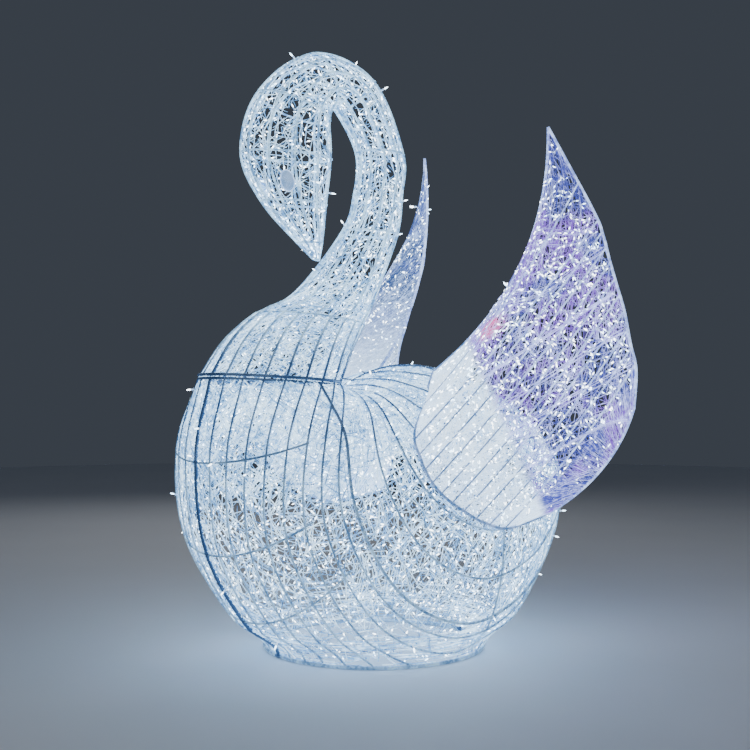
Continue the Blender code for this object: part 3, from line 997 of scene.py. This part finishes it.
def lightStrings(shape, lines, rng, onWing=False):
    # Bulbs along many lines, each given as u, low and high, and the wires that join each bulb
    # to the next. On a wing u is a section, and pairs of bulbs lie on either face
    places, axes, sizes, wires = [], [], [], []
    for u, low, high in lines:
        along, around = stringPlaces(shape, u, low, high, rng, onWing)
        if onWing:
            points, normals = surface(shape, np.clip(around, *lights["wingSections"]), along)
            normals = normals * np.where(rng.random(len(normals)) < 0.5, -1, 1)[:, None]
        else:
            points, normals = surface(shape, along, around)
            points = points - normals * lights["sunk"]
        gaps = span(np.diff(points, axis=0))
        links = gaps < lights["longestLink"] * lights["spacing"]
        wires.append((points[:-1][links], points[1:][links]))
        if onWing:
            points, normals = np.repeat(points, 2, 0), np.repeat(normals, 2, 0)
        stands = rng.random(len(points)) < lights["standing"]
        spread = unit(rng.normal(0, 1, points.shape))
        flat = spread - normals * (spread * normals).sum(-1)[:, None]
        axes.append(unit(np.where(stands[:, None], normals + lights["splay"] * spread,
                                  flat + lights["rise"] * normals)))
        places.append(points + normals * np.where(stands, lights["sunk"], 0)[:, None])
        size = np.where(stands, lights["standingSize"], lights["lying"])
        sizes.append(size * rng.uniform(*lights["vary"], len(points)))
    places, axes, sizes = (np.concatenate(part) for part in (places, axes, sizes))
    starts, ends = (np.concatenate(part) for part in zip(*wires))
    above = places[:, 2] > lights["floor"]
    wireAbove = (starts[:, 2] > lights["wireFloor"]) & (ends[:, 2] > lights["wireFloor"])
    return places[above], axes[above], sizes[above], (starts[wireAbove], ends[wireAbove])


def buildLights(name, found, bulbs, holders, wires):
    # Turned bulbs and holders at the places found, and straight wires
    places, axes, sizes, (starts, ends) = found
    for part, key, finish in (("Bulbs", "bulb", bulbs), ("Holders", "holder", holders)):
        small = lathe(lights[key], lights["sides"])
        makePiece(name + part, repeated(small, places, axes, sizes), finish)
    makePiece(name + "Wires", stretched(starts, ends, lights["wire"]), wires,
              smooth=False, tone=lights["wireTone"])
    print(name, len(places), "bulbs")


def bulbFinish():
    # Bulbs glow white, some of them bluish
    f = Finish("bulbGlow", Base_Color=(0.9, 0.95, 1.0), Roughness=0.2, Emission_Strength=7.0)
    cool = f.step(0.42, 0.62, f.noise(24.0))
    f.set(Emission_Color=f.blend(cool, (0.90, 0.97, 1.0), (0.55, 0.80, 1.0)))
    return f.dim()


def holderFinish():
    # Milky plastic sleeves, glowing with painted light of their bulbs, a little darker and scuffed
    # in places
    f = Finish("milkySleeve", Emission_Strength=1.2, Coat_Weight=0.2)
    scuffed = f.step(0.45, 0.65, f.noise(90.0, 3.0))
    f.set(Base_Color=f.blend(scuffed, (0.80, 0.90, 1.0), (0.52, 0.64, 0.80)),
          Emission_Color=f.blend(scuffed, (0.55, 0.75, 1.0), (0.30, 0.48, 0.85)),
          Roughness=0.25 + 0.3 * scuffed)
    return f.dim()


def between(first, last, count):
    # Lines evenly between neighbouring ribs
    cell, perCell = (last - first) / count, lights["perCell"]
    return [first + cell * (k + (m + 0.5) / perCell) for k in range(count) for m in range(perCell)]


def bodyLines():
    # Strings between the ribs, from the ring or the spine to the tail
    starts = np.concatenate([[0.0], spineStarts()])
    lines = []
    for first, last in zip(starts, starts[1:]):
        cells = max(1, int(round((last - first) / (2 * np.pi / rods["bodyRibs"]))))
        for start in between(first, last, cells):
            low = max(0.06, float(leavesSpine(start)) + 0.02)
            lines += [(side * start, low, lights["bodyTo"]) for side in (1, -1)]
    return lines


bulbLook, holderLook = bulbFinish(), holderFinish()
neckStarts = between(0, 2 * np.pi, rods["neckRibs"])
neckLines = [(u, *lights["neckEnds"]) for u in neckStarts]
wingLines = [(u, *bands["ends"]) for u in wingStrings()]
buildLights("body", lightStrings(fanPoint, bodyLines(), seeded(21)),
            bulbLook, holderLook, ice)
buildLights("neck", lightStrings(neckPoint, neckLines, seeded(22)),
            bulbLook, holderLook, ice)
for shape, name, slot, seed, look in ((leftWingPoint, "wingLeft", "violet_net", 23, violetLook),
                                      (wingPoint, "wingRight", "blue_net", 24, duskLook)):
    found = lightStrings(shape, wingLines, seeded(seed), True)
    buildLights(name, found, bulbLook, holderLook, look)
print("lights done")


eye = {
    "station": 2.4,  # section of the head, and angle from the breast in degrees
    "angle": 113.0,
    "length": 0.066,
    "width": 0.042,
    "thickness": 0.008,
    "lift": 0.0053,  # off the skin
    "rim": 0.0019,
    # turned profile: radius and height, as shares of diameter and thickness
    "dome": ((0.02, 0.0), (0.5, 0.0), (0.5, 0.45), (0.47, 0.8), (0.38, 0.95), (0.2, 1.05),
             (0.02, 1.08)),
}


def eyeFinish():
    # Smooth pale blue plate with a faint cloudy tone, glowing with painted light
    f = Finish("paleBluePlate", Emission_Strength=0.9, Coat_Weight=0.35)
    cloud = f.step(0.35, 0.7, f.noise(30.0, 3.0))
    f.set(Base_Color=f.blend(cloud, (0.30, 0.46, 0.78), (0.48, 0.64, 0.92)),
          Emission_Color=f.blend(cloud, (0.16, 0.34, 0.62), (0.30, 0.50, 0.80)),
          Roughness=0.26 + 0.12 * cloud)
    f.bump(f.noise(260.0), 0.0003, 0.3)
    return f.dim()


def buildEye(name, node, side, plateFinish, rimFinish):
    # An oval plate, slightly domed: a turned profile stretched to the oval's two widths
    t, turn = np.array([eye["station"]]), np.radians(np.array([eye["angle"]]))
    points, normals = surface(neckPoint, t, turn)
    longAxis = unit(neckPoint(t + 0.01, turn) - neckPoint(t, turn))[0]
    normal = normals[0]
    crossAxis = np.cross(normal, longAxis)
    basis = np.stack([longAxis, crossAxis, normal])
    verts, faces = lathe([(r, h * eye["thickness"]) for r, h in eye["dome"]], 40)
    scaled = verts * (eye["length"], eye["width"], 1.0)
    here = points[0] + normal * eye["lift"]
    mirror = np.array((1, side, 1))
    plate = (here + scaled @ basis) * mirror
    angle = turnsOf(48)
    oval = np.stack([(eye["length"] / 2 + eye["rim"]) * np.cos(angle),
                     (eye["width"] / 2 + eye["rim"]) * np.sin(angle), 0 * angle + eye["rim"]], -1)
    rimVerts, rimFaces = carried(oval, np.tile((0.0, 0.0, 1.0), (48, 1)), eye["rim"], 6, closed=True)
    rim = (here + rimVerts @ basis) * mirror
    if side < 0:
        faces, rimFaces = [f[::-1] for f in faces], [f[::-1] for f in rimFaces]
    makePiece(name, (plate, faces), plateFinish, [node])
    makePiece(name + "Rim", (rim, rimFaces), rimFinish)


eyeLook = eyeFinish()
buildEye("eyeLeftPlate", "eye_left", 1, eyeLook, holderLook)
buildEye("eyeRightPlate", "eye_right", -1, eyeLook, holderLook)
print("eyes done")


stage = {
    "floor": (0.70, 0.72, 0.76),
    "radius": 9.0,
    "gap": 0.0005,  # from the floor up to the swan
    "sky": (0.42, 0.50, 0.64),
    "skyStrength": 0.11,
    "aim": (0, 0, 0.9),  # what the lamps face
}


def buildStage():
    # A round pale floor and an even sky
    around = turnsOf(96)
    data = bpy.data.meshes.new("floor")
    rim = np.stack([np.cos(around), np.sin(around), 0 * around], -1) * stage["radius"]
    data.from_pydata((rim - (0, 0, stage["gap"])).tolist(), [], [list(range(96))])
    f = Finish("paleFloor", Roughness=0.7)
    mottled = f.noise(1.5, 3.0)
    f.set(Base_Color=f.blend(mottled, stage["floor"], tuple(c * 1.08 for c in stage["floor"])))
    data.materials.append(f.material)
    floor = placed("floor", data)
    world = bpy.data.worlds.new("softSky")
    world.use_nodes = True
    background = world.node_tree.nodes["Background"]
    background.inputs["Color"].default_value = (*stage["sky"], 1)
    background.inputs["Strength"].default_value = stage["skyStrength"]
    bpy.context.scene.world = world


softLights = (
    {"name": "key", "at": (-3.2, -3.0, 3.6), "size": 3.0, "watts": 44.0},
    {"name": "fill", "at": (3.2, -3.4, 2.4), "size": 3.0, "watts": 22.0},
    {"name": "back", "at": (1.5, 3.6, 3.2), "size": 3.0, "watts": 28.0},
)


def buildLamp(values):
    # A square soft lamp
    data = bpy.data.lights.new(values["name"], "AREA")
    data.energy, data.size = values["watts"], values["size"]
    lamp = placed(values["name"], data)
    lamp.location = values["at"]
    aim = Vector(stage["aim"]) - lamp.location
    lamp.rotation_euler = aim.to_track_quat("-Z", "Y").to_euler()


def buildCamera():
    # Level, shifted to where the photograph has the axis and the horizon
    data = bpy.data.cameras.new("photoCamera")
    data.lens = view["focal"] / view["frame"] * data.sensor_width
    data.shift_x = (view["frame"] / 2 - view["axisColumn"]) / view["frame"]
    data.shift_y = (view["horizonRow"] - view["frame"] / 2) / view["frame"]
    camera = placed("photoCamera", data)
    camera.location = eyePoint
    camera.rotation_euler = (np.pi / 2, 0, turned)
    bpy.context.scene.camera = camera


buildStage()
for values in softLights:
    buildLamp(values)
buildCamera()
print("stage, lights and camera done")
